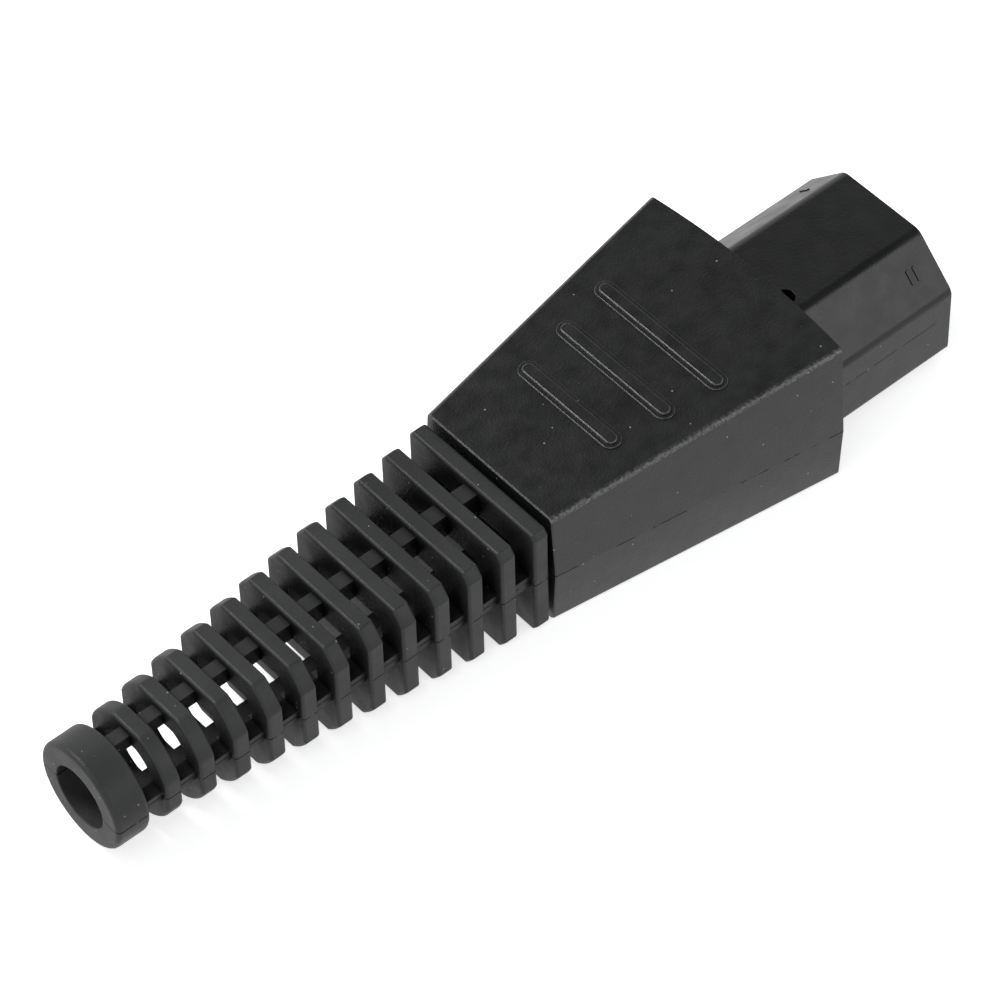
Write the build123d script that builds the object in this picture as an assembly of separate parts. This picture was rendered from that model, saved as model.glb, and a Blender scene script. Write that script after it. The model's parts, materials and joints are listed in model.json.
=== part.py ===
from build123d import *
import os

# Rewireable power connector with two current contacts and an earth contact.
# +X is the mating direction, +Z is up, towards the chamfered side of the nose, and +Y is the line side.
# The origin is on the mating face, on the axis of the boot and at the parting plane of the insert.
# All sizes are in millimetres.

# Nose of the insert
nose_width = 24.0
nose_top = 9.5
nose_bottom = 6.5
nose_chamfer = 5.8
nose_edge = 1.8
nose_lower_edge = 1.0
nose_reach = 21.7
front_wall = 1.6
recess_d = 2.4
recess_depth = 4.0
recess_x = -18.7
recess_y = -3.6

# Contact slots and contacts
line_y = 7.0
current_z = -0.5
earth_z = 3.5
slot_width = 2.7
slot_height = 4.8
contact_height = 5.2
contact_sheet = 0.6
contact_half_width = 1.9
contact_front = -2.0
contact_pinch_x = -5.0
contact_bend_x = -10.0
contact_rear = -20.6
contact_pinch_gap = 1.8
contact_mouth_gap = 3.0
contact_tail_width = 2.8
tail_reach = 0.5
tongue_root = 1.0
pocket_gap = 0.1
tail_gap = 0.15

# Hood
hood_length = 38.5
hood_front_half = 16.9
hood_rear_half = 11.2
hood_top_front = 13.0
hood_top_rear = 9.1
hood_bottom = 8.25
hood_draft = 4.0
hood_wall = 1.6
hood_rear_wall = 2.1
hood_edge = 0.7
hood_front_bow = 1.1
hood_rim = 0.15
rib_count = 3
rib_first_x = -34.5
rib_pitch = 6.85
rib_width = 2.6
rib_height = 0.45
rib_half_length = 10.6
rib_step = 1.2
rib_edge = 0.22
rib_shoulder = 0.5
rib_foot_height = 0.18
rib_foot_edge = 0.12

# Flange and platform of the insert
flange_set_back = 0.8
flange_thick = 2.3
insert_gap = 0.3
floor_thick = 2.1
platform_length = 52.0
side_wall = 1.2
divider_thick = 0.8
divider_top = 5.0
bay_stop_height = 0.8
bay_stop_thick = 1.0
bay_gap = 0.3
seat_gap = 0.1

# Terminals
terminal_x = -31.2
terminal_length = 6.4
terminal_width = 5.6
terminal_height = 6.2
tunnel_width = 3.6
tunnel_height = 3.7
tunnel_floor = 0.9
terminal_edge = 0.3
terminal_screw_r = 1.45
screw_running_gap = 0.05
terminal_head_r = 2.0
terminal_head_height = 1.2
terminal_travel = 1.8
head_lift = 0.25
plate_length = 5.0
plate_thick = 0.5
plate_gap = 0.15
tip_r = 0.8
driver_slot_width = 0.6
driver_slot_depth = 0.6
head_edge = 0.2

# Hood screws and cover screws
hood_screw_inset = 4.9
hood_screw_z = 8.3
hood_screw_r = 1.1
hood_screw_head_r = 1.8
hood_screw_head_height = 0.7
hood_screw_length = 9.0
boss_r = 2.2
boss_length = 9.2
cover_screw_inset = 5.0
cover_screw_r = 1.1
cover_screw_head_r = 1.4
cover_screw_head_height = 1.3
cover_screw_length = 6.0
screw_tip_room = 0.4
ear_thick = 2.2
ear_length = 3.1
ear_inner_margin = 1.8

# Cable clamp
clamp_set_in = 4.4
clamp_bed_length = 5.6
cable_r = 4.0
cable_gap = 0.1
saddle_length = 4.2
saddle_thick = 1.5
saddle_half_width = 9.5
saddle_open = 1.0
saddle_ear_thick = 1.7
clamp_travel = 2.2
clamp_post_clear = 0.3
clamp_screw_y = 7.4
clamp_screw_r = 1.25
clamp_head_r = 1.9
clamp_head_height = 1.5
clamp_screw_reach = 3.2

# Boot
boot_gap = 0.5
ring_count = 12
ring_pitch = 4.44
ring_thick = 2.15
ring_first_half_width = 10.7
ring_first_half_height = 8.2
ring_last_half = 6.6
ring_first_round = 13.0
ring_last_round = 6.9
ring_edge = 0.3
boot_wall_first = 4.4
boot_wall_last = 2.6
end_plate_inset = 0.5
web_width_first = 2.2
web_width_last = 1.7
side_web_share = 0.8
web_recess = 0.8
collar_r = 6.8
collar_bore_r = 4.0
collar_length = 4.5
collar_edge = 0.6
neck_half_width = 7.4
neck_half_height = 5.0
neck_corner = 2.0
neck_wall = 1.6
neck_bore_corner = 1.0
neck_lip = 1.2
neck_lip_thick = 1.4

# How far a cut runs past the face that it opens
over = 1.0

# Places that follow from the sizes above
half_width = nose_width / 2
hood_front = -nose_reach
hood_rear = hood_front - hood_length
hood_inside_rear = hood_rear + hood_rear_wall
flange_front = hood_front - flange_set_back
flange_rear = flange_front - flange_thick
platform_rear = -platform_length
clamp_x = platform_rear + clamp_set_in
hood_screw_y = hood_front_half - hood_screw_inset
cover_screw_y = hood_front_half - cover_screw_inset
cover_screw_x = flange_rear - ear_length / 2
ear_inner_y = cover_screw_y - ear_inner_margin
floor_bottom = hood_wall - hood_bottom + insert_gap
floor_top = floor_bottom + floor_thick
boot_front = hood_rear - boot_gap
ring_last_rear = boot_front - ring_thick - ring_pitch * (ring_count - 1)
collar_front = ring_last_rear - (ring_pitch - ring_thick)
boot_end = collar_front - collar_length
side_slope = (hood_front_half - hood_rear_half) / hood_length
roof_slope = (hood_top_front - hood_top_rear) / hood_length
terminal_seat = contact_height / 2 + tunnel_floor
pole_places = {"line": (line_y, current_z), "neutral": (-line_y, current_z), "earth": (0.0, earth_z)}


def block(x0, x1, y0, y1, z0, z1):
    """A box between two corners."""
    size = (abs(x1 - x0), abs(y1 - y0), abs(z1 - z0))
    return Pos((x0 + x1) / 2, (y0 + y1) / 2, (z0 + z1) / 2) * Box(*size)


def rod_x(x0, x1, y, z, r):
    """A round bar along X."""
    return Pos((x0 + x1) / 2, y, z) * Rot(0, 90, 0) * Cylinder(r, abs(x1 - x0))


def rod_z(x, y, z0, z1, r):
    """A round bar along Z."""
    return Pos(x, y, (z0 + z1) / 2) * Cylinder(r, abs(z1 - z0))


def hood_form(inset, x_front, x_rear):
    """The hood's tapered shape, drawn in by the inset on its sides, roof and floor."""
    def half_at(x):
        return hood_front_half - side_slope * (hood_front - x) - inset

    def top_at(x):
        return hood_top_front - roof_slope * (hood_front - x) - inset

    reach = 2 * hood_top_front
    ahead = x_front + reach
    behind = x_rear - reach
    plan = Polyline(
        (ahead, half_at(ahead)), (behind, half_at(behind)),
        (behind, -half_at(behind)), (ahead, -half_at(ahead)), close=True,
    )
    plan_face = make_face(plan)
    body = extrude(plan_face, reach, taper=hood_draft) + extrude(plan_face, -reach, taper=hood_draft)
    low = inset - hood_bottom
    profile = Polyline(
        (x_front, low), (x_front, top_at(x_front)), (x_rear, top_at(x_rear)), (x_rear, low), close=True,
    )
    side = extrude(Plane.XZ * make_face(profile), hood_front_half * 2, both=True)
    return body & side


def nose_half(z0, z1):
    """The nose between two heights, with its outer edges along X rounded except at the parting plane."""
    y = half_width
    points = [
        (-y, -nose_bottom), (y, -nose_bottom), (y, nose_top - nose_chamfer), (y - nose_chamfer, nose_top),
        (nose_chamfer - y, nose_top), (-y, nose_top - nose_chamfer),
    ]
    outline = Plane.YZ * make_face(Polyline(*points, close=True))
    nose = extrude(outline, flange_rear, dir=(1, 0, 0)) & block(flange_rear, 0, -y, y, z0, z1)
    rounding = nose_edge if z1 > 0 else nose_lower_edge
    return fillet([e for e in nose.edges().filter_by(Axis.X) if e.center().Z != 0], rounding)


def pocket(y, z, low, high, tail_high):
    """Room for one contact and its tail, with the slot in front, cut between two heights."""
    half = contact_half_width + pocket_gap
    tail_half = contact_tail_width / 2 + tail_gap
    room = block(contact_rear - pocket_gap, -front_wall, y - half, y + half, low, high)
    slot = block(-front_wall - over, over, y - slot_width / 2, y + slot_width / 2,
                 max(low, z - slot_height / 2), min(high, z + slot_height / 2))
    if tail_high > low:
        room += block(flange_rear - over, contact_rear, y - tail_half, y + tail_half, low, tail_high)
    return room + slot


def make_hood():
    """Tapered hood, open at the front, with grip ribs, screw bosses and the boot's opening."""
    outer = hood_form(0, hood_front + hood_front_bow, hood_rear)
    lengthwise = [
        e for e in outer.edges()
        if abs(e.center().Z) > hood_bottom / 2 and e.length > hood_length * 0.9
    ]
    outer = fillet(lengthwise, hood_edge)
    rear_rim = [e for e in outer.faces().sort_by(Axis.X)[0].edges()]
    outer = chamfer(rear_rim, hood_rim)
    cavity = hood_form(hood_wall, hood_front + hood_front_bow + over, hood_inside_rear)
    bosses = Part()
    holes = Part()
    for side in (-1, 1):
        boss = rod_x(flange_rear - seat_gap, flange_rear - boss_length, side * hood_screw_y, hood_screw_z, boss_r)
        corner = block(flange_rear - seat_gap, flange_rear - boss_length, side * hood_screw_y,
                       side * hood_front_half, hood_screw_z, hood_top_front)
        bosses += boss + corner
        holes += rod_x(flange_rear, flange_rear - hood_screw_length, side * hood_screw_y, hood_screw_z,
                       hood_screw_r + screw_running_gap)
    hood = outer - cavity + (bosses & hood_form(hood_wall / 2, hood_front, hood_rear)) - holes
    hood -= block(hood_rear - over, hood_inside_rear + over, -neck_half_width, neck_half_width,
                  -neck_half_height, neck_half_height)
    hood -= ahead_of_hood()
    for index in range(rib_count):
        hood += grip_rib(index)
    return hood


def ahead_of_hood():
    """Everything ahead of the hood's front rim, which is bowed forward at its middle."""
    far_y = 2 * hood_front_half
    tip_x = hood_front + hood_front_bow
    rim = ThreePointArc((hood_front, -hood_front_half), (tip_x, 0), (hood_front, hood_front_half))
    rest = Polyline((hood_front, hood_front_half), (hood_front, far_y), (tip_x + over, far_y),
                    (tip_x + over, -far_y), (hood_front, -far_y), (hood_front, -hood_front_half))
    return extrude(make_face(rim + rest), 2 * hood_top_front, both=True)


def grip_rib(index):
    """One round-ended bar with a low foot around it, rooted just below the sloping roof."""
    x = rib_first_x - rib_pitch * index
    half = rib_half_length - rib_step * index
    roof_z = hood_top_front - roof_slope * (hood_front - x)
    foot = extrude(SlotOverall(2 * half, rib_width, rotation=90), rib_foot_height + hood_wall / 2)
    foot = fillet(foot.faces().sort_by(Axis.Z)[-1].edges(), rib_foot_edge)
    crest_outline = SlotOverall(2 * (half - rib_shoulder), rib_width - 2 * rib_shoulder, rotation=90)
    crest = extrude(crest_outline, rib_height + hood_wall / 2)
    bar = foot + fillet(crest.faces().sort_by(Axis.Z)[-1].edges(), rib_edge)
    tilt = Rot(0, -Vector(1, 0, roof_slope).get_angle(Vector(1, 0, 0)), 0)
    return Pos(x, 0, roof_z) * tilt * Pos(0, 0, -hood_wall / 2) * bar


def make_insert_base():
    """Lower half of the insert: nose, flange, terminal bays and cable bed."""
    nose = nose_half(-nose_bottom, 0)
    flange = hood_form(hood_wall + insert_gap, flange_front, flange_rear)
    flange &= block(flange_rear, flange_front, -hood_front_half, hood_front_half, -hood_bottom, 0)
    room = hood_form(hood_wall + insert_gap, flange_front, platform_rear)
    platform = block(platform_rear, flange_rear, -hood_front_half, hood_front_half, floor_bottom, floor_top)
    bay_rear = terminal_x - terminal_length / 2 - bay_gap
    outer_y = line_y + terminal_width / 2 + bay_gap
    line_seat = current_z - terminal_seat
    parts = [platform]
    for side in (-1, 1):
        divider_y = side * line_y / 2
        parts.append(block(bay_rear - bay_stop_thick, flange_rear, divider_y - divider_thick / 2,
                           divider_y + divider_thick / 2, floor_top, divider_top))
        parts.append(block(bay_rear - bay_stop_thick, flange_rear, side * outer_y,
                           side * (outer_y + side_wall), floor_top, 0))
        parts.append(block(flange_rear - ear_length, flange_rear, side * ear_inner_y,
                           side * hood_front_half, floor_bottom, 0))
        parts.append(block(bay_rear - bay_stop_thick, bay_rear, side * line_y / 2, side * outer_y,
                           floor_bottom, line_seat + bay_stop_height))
    seat_z = earth_z - terminal_seat
    earth_half = line_y / 2 - divider_thick / 2
    parts.append(block(bay_rear - bay_stop_thick, flange_rear, -earth_half, earth_half, floor_bottom, seat_z))
    parts.append(block(bay_rear - bay_stop_thick, bay_rear, -earth_half, earth_half,
                       seat_z, seat_z + bay_stop_height))
    for side in (-1, 1):
        parts.append(block(bay_rear, flange_rear, side * (line_y - terminal_width / 2 - bay_gap),
                           side * outer_y, floor_bottom, line_seat))
    bed_top = saddle_open - clamp_travel - clamp_post_clear
    bed = block(clamp_x - clamp_bed_length / 2, clamp_x + clamp_bed_length / 2,
                -saddle_half_width, saddle_half_width, floor_bottom, bed_top)
    parts.append(bed)
    shape = nose + flange + (Part() + parts & room)
    for y, z in pole_places.values():
        if z < contact_height / 2:
            shape -= pocket(y, z, z - contact_height / 2, 0, 0)
    tongue_top = earth_z - contact_height / 2
    shape += block(contact_rear, -front_wall - over, -contact_half_width, contact_half_width,
                   -tongue_root, tongue_top)
    shape += block(flange_rear, contact_rear, -contact_tail_width / 2, contact_tail_width / 2,
                   -tongue_root, tongue_top)
    shape -= rod_x(clamp_x - clamp_bed_length, clamp_x + clamp_bed_length, 0, 0, cable_r + cable_gap)
    for side in (-1, 1):
        shape -= rod_z(clamp_x, side * clamp_screw_y, floor_bottom - over, 0, clamp_screw_r + screw_running_gap)
        shape -= rod_z(cover_screw_x, side * cover_screw_y, ear_thick - cover_screw_length - screw_tip_room,
                       over, cover_screw_r)
    return shape


def make_insert_cover():
    """Upper half of the insert: chamfered nose, flange with screw holes, and two ears."""
    nose = nose_half(0, nose_top)
    flange = hood_form(hood_wall + insert_gap, flange_front, flange_rear)
    flange &= block(flange_rear, flange_front, -hood_front_half, hood_front_half, 0, hood_top_front)
    ear_room = hood_form(hood_wall + insert_gap, flange_front, platform_rear)
    shape = nose + flange
    for side in (-1, 1):
        ear = block(flange_rear - ear_length, flange_rear, side * ear_inner_y,
                    side * hood_front_half, 0, ear_thick)
        shape += ear & ear_room
        shape -= rod_z(cover_screw_x, side * cover_screw_y, -over, ear_thick + over, cover_screw_r)
        shape -= rod_x(flange_rear - over, flange_front + over, side * hood_screw_y, hood_screw_z, hood_screw_r)
    for y, z in pole_places.values():
        tail_high = z - contact_height / 2 + contact_sheet + tail_gap
        shape -= pocket(y, z, 0, z + contact_height / 2 + pocket_gap, tail_high)
    shape -= rod_z(recess_x, recess_y, nose_top - recess_depth, nose_top + over, recess_d / 2)
    return shape


def make_contact(y, z):
    """Folded brass contact: two sprung leaves on a floor strip that runs back as the tail."""
    low = z - contact_height / 2
    floor_strip = block(contact_rear, contact_bend_x, y - contact_half_width, y + contact_half_width,
                        low, low + contact_sheet)
    tail = block(terminal_x - tail_reach, contact_rear + over, y - contact_tail_width / 2,
                 y + contact_tail_width / 2, low, low + contact_sheet)
    shape = floor_strip + tail
    outer = contact_half_width
    inner = outer - contact_sheet
    pinch = contact_pinch_gap / 2
    mouth = contact_mouth_gap / 2 - contact_sheet / 2
    leaf = Polyline(
        (contact_rear, outer), (contact_bend_x, outer), (contact_pinch_x, pinch + contact_sheet),
        (contact_front, mouth + contact_sheet), (contact_front, mouth), (contact_pinch_x, pinch),
        (contact_bend_x, inner), (contact_rear, inner), close=True,
    )
    for side in (-1, 1):
        face = make_face(leaf)
        wall = extrude(face if side == 1 else mirror(face, Plane.XZ), contact_height)
        shape += Pos(0, y, low) * wall
    return shape


def make_terminal(y, z):
    """Brass tunnel terminal with a wire tunnel along X and a tapped hole from above."""
    low = z - terminal_seat
    body = block(terminal_x - terminal_length / 2, terminal_x + terminal_length / 2,
                 y - terminal_width / 2, y + terminal_width / 2, low, low + terminal_height)
    tunnel_low = low + tunnel_floor
    tunnel = block(terminal_x - terminal_length, terminal_x + terminal_length,
                   y - tunnel_width / 2, y + tunnel_width / 2, tunnel_low, tunnel_low + tunnel_height)
    hole = rod_z(terminal_x, y, tunnel_low + tunnel_height / 2, low + terminal_height + over,
                 terminal_screw_r + screw_running_gap)
    return chamfer(body.edges().filter_by(Axis.X), terminal_edge) - tunnel - hole


def tunnel_top(z):
    """Height of a terminal tunnel's roof."""
    return z - terminal_seat + tunnel_floor + tunnel_height


def make_plate(y, z):
    """Pressure plate below the terminal screw, with a hole for the screw's tip."""
    top = tunnel_top(z) - plate_gap
    plate = block(terminal_x - plate_length / 2, terminal_x + plate_length / 2,
                  y - tunnel_width / 2 + plate_gap, y + tunnel_width / 2 - plate_gap, top - plate_thick, top)
    return plate - rod_z(terminal_x, y, top - plate_thick - over, top + over, tip_r + screw_running_gap)


def slotted_head(x, y, z, r, height):
    """Cheese head with a driver slot, standing on a height."""
    head = rod_z(x, y, z, z + height, r)
    head = chamfer(head.faces().sort_by(Axis.Z)[-1].edges(), head_edge)
    return head - block(x - r, x + r, y - driver_slot_width / 2, y + driver_slot_width / 2,
                        z + height - driver_slot_depth, z + height + over)


def make_terminal_screw(y, z):
    """Terminal screw, backed off, with a reduced tip that carries the pressure plate."""
    under_head = z - terminal_seat + terminal_height + terminal_travel + head_lift
    plate_top = tunnel_top(z) - plate_gap
    shank = rod_z(terminal_x, y, plate_top, under_head, terminal_screw_r)
    tip = rod_z(terminal_x, y, plate_top - plate_thick, plate_top, tip_r)
    return shank + tip + slotted_head(terminal_x, y, under_head, terminal_head_r, terminal_head_height)


def make_clamp_saddle():
    """Arched saddle over the cable, with an ear for a screw on each side."""
    half = saddle_length / 2
    under = saddle_open
    arch_r = cable_r + cable_gap
    arch_z = saddle_open / 2
    arch = rod_x(clamp_x - half, clamp_x + half, 0, arch_z, arch_r + saddle_thick)
    arch &= block(clamp_x - half, clamp_x + half, -saddle_half_width, saddle_half_width, under, hood_top_front)
    ears = block(clamp_x - half, clamp_x + half, -saddle_half_width, saddle_half_width,
                 under, under + saddle_ear_thick)
    shape = arch + ears - rod_x(clamp_x - half - over, clamp_x + half + over, 0, arch_z, arch_r)
    for side in (-1, 1):
        shape -= rod_z(clamp_x, side * clamp_screw_y, under - over, under + saddle_ear_thick + over,
                       clamp_screw_r + screw_running_gap)
    return shape


def make_clamp_screw(side):
    """Clamp screw through a saddle ear into the bed below."""
    under_head = saddle_open + saddle_ear_thick
    shank = rod_z(clamp_x, side * clamp_screw_y, -clamp_screw_reach, under_head, clamp_screw_r)
    return shank + slotted_head(clamp_x, side * clamp_screw_y, under_head, clamp_head_r, clamp_head_height)


def make_cover_screw(side):
    """Screw through the cover's ear into the base."""
    y = side * cover_screw_y
    shank = rod_z(cover_screw_x, y, ear_thick - cover_screw_length, ear_thick, cover_screw_r)
    return shank + slotted_head(cover_screw_x, y, ear_thick, cover_screw_head_r, cover_screw_head_height)


def make_hood_screw(side):
    """Screw from the front through the flange into the hood's boss, with a cross slot in its head."""
    y = side * hood_screw_y
    tip = flange_rear - hood_screw_length + screw_tip_room
    shank = rod_x(tip, flange_front, y, hood_screw_z, hood_screw_r)
    head = rod_x(flange_front, flange_front + hood_screw_head_height, y, hood_screw_z, hood_screw_head_r)
    slot = block(flange_front + hood_screw_head_height / 2, flange_front + hood_screw_head_height + over,
                 y - hood_screw_head_r, y + hood_screw_head_r,
                 hood_screw_z - driver_slot_width / 2, hood_screw_z + driver_slot_width / 2)
    return shank + head - slot


def eased(first, last, share):
    """A size that changes evenly along the boot."""
    return first + (last - first) * share


def ring_section(share, inset):
    """Outline of the boot: a rectangle whose corners a round limit cuts off, more towards the collar."""
    half_y = eased(ring_first_half_width, ring_last_half, share) - inset
    half_z = eased(ring_first_half_height, ring_last_half, share) - inset
    round_r = eased(ring_first_round, ring_last_round, share) - inset
    return Rectangle(2 * half_y, 2 * half_z) & Circle(round_r)


def ring_share(index):
    """How far along the boot a ring lies, from 0 at the hood to 1 at the last ring."""
    return index / (ring_count - 1)


def at_x(sketch, x):
    """Turn a sketch to face +X and set it at a place along the axis."""
    return Plane(origin=(x, 0, 0), x_dir=(0, 1, 0), z_dir=(1, 0, 0)) * sketch


def make_ring(index):
    """One full-depth ring of the boot."""
    rear = boot_front - ring_thick - ring_pitch * index
    share = ring_share(index)
    disc = extrude(at_x(ring_section(share, 0), rear), ring_thick)
    rims = disc.faces().sort_by(Axis.X)
    disc = chamfer(rims[0].edges() + rims[-1].edges(), ring_edge / 2)
    wall = eased(boot_wall_first, boot_wall_last, share)
    hollow = extrude(at_x(ring_section(share, wall), rear - over), ring_thick + 2 * over)
    return disc - hollow


def boot_webs(index):
    """Four narrow webs that join a ring to the next, from a little below its surface to its bore."""
    front = boot_front - ring_thick - ring_pitch * index + ring_edge
    rear = boot_front - ring_pitch * (index + 1) - ring_edge
    share = ring_share(min(index + 0.5, ring_count - 1))
    half_y = eased(ring_first_half_width, ring_last_half, share)
    half_z = eased(ring_first_half_height, ring_last_half, share)
    wall = eased(boot_wall_first, boot_wall_last, share)
    width = eased(web_width_first, web_width_last, share)
    side_width = width * side_web_share
    webs = Part()
    for side in (-1, 1):
        webs += block(rear, front, side * (half_y - web_recess), side * (half_y - wall),
                      -side_width / 2, side_width / 2)
        webs += block(rear, front, -width / 2, width / 2, side * (half_z - web_recess), side * (half_z - wall))
    return webs


def make_boot():
    """Soft boot: lip and neck in the hood's rear wall, open rings, webs and a round collar."""
    neck_box = RectangleRounded(2 * neck_half_width, 2 * neck_half_height, neck_corner)
    lip_box = RectangleRounded(2 * (neck_half_width + neck_lip), 2 * (neck_half_height + neck_lip), neck_corner)
    neck_bore = RectangleRounded(2 * (neck_half_width - neck_wall), 2 * (neck_half_height - neck_wall),
                                 neck_bore_corner)
    neck = extrude(at_x(neck_box, boot_front - ring_thick / 2), hood_inside_rear - boot_front + ring_thick / 2)
    lip = extrude(at_x(lip_box, hood_inside_rear), neck_lip_thick)
    end_plate = extrude(at_x(ring_section(0, end_plate_inset), boot_front - ring_thick / 2), ring_thick / 2)
    bore = extrude(at_x(neck_bore, boot_front - ring_thick), hood_inside_rear + neck_lip_thick
                   - boot_front + ring_thick + over)
    boot = neck + lip + end_plate - bore
    for index in range(ring_count):
        boot += make_ring(index)
        boot += boot_webs(index)
    collar = rod_x(boot_end, collar_front, 0, 0, collar_r)
    rims = collar.faces().sort_by(Axis.X)
    collar = fillet(rims[0].edges() + rims[-1].edges(), collar_edge)
    return boot + collar - rod_x(boot_end - over, collar_front, 0, 0, collar_bore_r)


def build_all():
    """Every node's solid by name."""
    nodes = {
        "hood": make_hood(),
        "boot": make_boot(),
        "insert_base": make_insert_base(),
        "insert_cover": make_insert_cover(),
        "clamp_saddle": make_clamp_saddle(),
    }
    for pole, (y, z) in pole_places.items():
        nodes["contact_" + pole] = make_contact(y, z)
        nodes["terminal_" + pole] = make_terminal(y, z)
        nodes["plate_" + pole] = make_plate(y, z)
        nodes["screw_" + pole] = make_terminal_screw(y, z)
    for name, side in (("left", 1), ("right", -1)):
        nodes["clamp_screw_" + name] = make_clamp_screw(side)
        nodes["cover_screw_" + name] = make_cover_screw(side)
        nodes["hood_screw_" + name] = make_hood_screw(side)
    return nodes


os.makedirs("parts", exist_ok=True)
for node, solid in build_all().items():
    export_step(solid, "parts/" + node + ".step")
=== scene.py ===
# %% [markdown]
# # A rewireable power connector
# This lesson dresses a imported CAD part for a studio picture. The part is a mains connector that a
# fitter wires by hand: a moulded insert with three contact slots, a tapered hood with grip ribs, and
# a soft boot of open rings that keeps the cable from kinking. The frame holds every piece at its real
# size in metres, so nothing here is moved or scaled. The box of the whole part is taken at the start,
# and the floor is laid just under it. The dressed part has to fill the same box at the end.

# %% Load the frame
import json
import math

import bmesh
import bpy
from mathutils import Matrix, Vector


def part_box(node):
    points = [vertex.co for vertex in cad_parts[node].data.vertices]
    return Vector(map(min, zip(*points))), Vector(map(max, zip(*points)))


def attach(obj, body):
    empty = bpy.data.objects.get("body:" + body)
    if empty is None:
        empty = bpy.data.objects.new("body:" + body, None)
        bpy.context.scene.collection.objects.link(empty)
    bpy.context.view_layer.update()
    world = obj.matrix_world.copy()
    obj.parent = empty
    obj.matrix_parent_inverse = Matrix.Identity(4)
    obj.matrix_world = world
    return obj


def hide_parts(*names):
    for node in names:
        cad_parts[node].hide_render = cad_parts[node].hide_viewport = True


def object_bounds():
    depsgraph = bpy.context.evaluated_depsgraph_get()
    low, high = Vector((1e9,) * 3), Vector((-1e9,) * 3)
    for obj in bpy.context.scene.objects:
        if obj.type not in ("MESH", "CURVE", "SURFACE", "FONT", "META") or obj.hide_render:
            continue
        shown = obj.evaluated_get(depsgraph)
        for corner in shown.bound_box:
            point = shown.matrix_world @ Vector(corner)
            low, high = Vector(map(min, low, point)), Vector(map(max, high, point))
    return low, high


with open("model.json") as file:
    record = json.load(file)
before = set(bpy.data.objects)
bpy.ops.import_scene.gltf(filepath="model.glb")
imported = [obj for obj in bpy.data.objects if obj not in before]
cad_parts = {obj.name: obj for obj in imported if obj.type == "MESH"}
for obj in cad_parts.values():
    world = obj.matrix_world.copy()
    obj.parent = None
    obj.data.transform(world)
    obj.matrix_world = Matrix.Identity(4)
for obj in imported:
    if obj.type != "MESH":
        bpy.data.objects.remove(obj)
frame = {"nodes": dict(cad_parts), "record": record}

cad_low, cad_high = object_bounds()
mm = 0.001
print("part box in mm:", [round(v / mm, 2) for v in cad_high - cad_low])

# %% [markdown]
# ## The camera
# A product picture is often taken with a long lens from a fair distance, so that the edges stay almost
# parallel. The place of this camera was solved from the corners of the hood and the nose, and it is
# kept as an aim point, two angles, a small roll and a distance, as a photographer would note them.

# %% Camera
aim_point = Vector((-60.0, -1.6, 4.62)) * mm
camera_azimuth = math.radians(-39.61)
camera_elevation = math.radians(49.80)
camera_roll = math.radians(-1.74)
camera_distance = 549.2 * mm
focal_pixels = 4936.0
picture_pixels = 1000.0


def camera_matrix():
    """The camera's place and turn, from the aim point, the two angles, the roll and the distance."""
    back = Vector((
        math.sin(camera_azimuth) * math.cos(camera_elevation),
        -math.cos(camera_azimuth) * math.cos(camera_elevation),
        math.sin(camera_elevation),
    ))
    right = (-back).cross(Vector((0, 0, 1))).normalized()
    up = back.cross(right)
    turned_right = right * math.cos(camera_roll) + up * math.sin(camera_roll)
    turned_up = up * math.cos(camera_roll) - right * math.sin(camera_roll)
    turn = Matrix((turned_right, turned_up, back)).transposed().to_4x4()
    return Matrix.Translation(aim_point + back * camera_distance) @ turn


camera_data = bpy.data.cameras.new("camera")
camera_data.sensor_width = 36.0
camera_data.lens = focal_pixels / picture_pixels * camera_data.sensor_width
camera_data.clip_start = 0.01
camera = bpy.data.objects.new("camera", camera_data)
bpy.context.collection.objects.link(camera)
camera.matrix_world = camera_matrix()
bpy.context.scene.camera = camera
print("lens in mm:", round(camera_data.lens, 1))

# %% [markdown]
# ## Floor, world and lamps
# The ground is a plain pale sheet. Black plastic shows mostly what it mirrors, so the surroundings
# matter more than the lamps. The world is white near the horizon and dark overhead for the camera and
# for mirror rays, like a studio with a white sweep under a dim ceiling, and it gives only a plain even
# light to everything else. The floor gets a little extra brightness for the camera, and mirror rays
# see it plain white. That keeps it white while it still takes the soft shadow of the part.

# %% World
def any_of(tree, sockets):
    """One when any of the sockets is one."""
    result = sockets[0]
    for socket in sockets[1:]:
        larger = tree.nodes.new("ShaderNodeMath")
        larger.operation = "MAXIMUM"
        tree.links.new(result, larger.inputs[0])
        tree.links.new(socket, larger.inputs[1])
        result = larger.outputs[0]
    return result


world = bpy.data.worlds.new("studio")
bpy.context.scene.world = world
world.use_nodes = True
world_tree = world.node_tree
ambient = world_tree.nodes["Background"]
ambient.inputs["Color"].default_value = (0.94, 0.96, 1.0, 1)
ambient.inputs["Strength"].default_value = 0.35
ceiling_grey = 0.08
ceiling_start = 0.45
ceiling_full = 0.82
direction = world_tree.nodes.new("ShaderNodeTexCoord")
direction_parts = world_tree.nodes.new("ShaderNodeSeparateXYZ")
world_tree.links.new(direction.outputs["Generated"], direction_parts.inputs[0])
overhead = world_tree.nodes.new("ShaderNodeMapRange")
overhead.inputs["From Min"].default_value = ceiling_start
overhead.inputs["From Max"].default_value = ceiling_full
overhead.inputs["To Min"].default_value = 1.0
overhead.inputs["To Max"].default_value = ceiling_grey
world_tree.links.new(direction_parts.outputs["Z"], overhead.inputs["Value"])
backdrop = world_tree.nodes.new("ShaderNodeBackground")
backdrop.inputs["Color"].default_value = (1, 1, 1, 1)
world_tree.links.new(overhead.outputs["Result"], backdrop.inputs["Strength"])
ray = world_tree.nodes.new("ShaderNodeLightPath")
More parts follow.
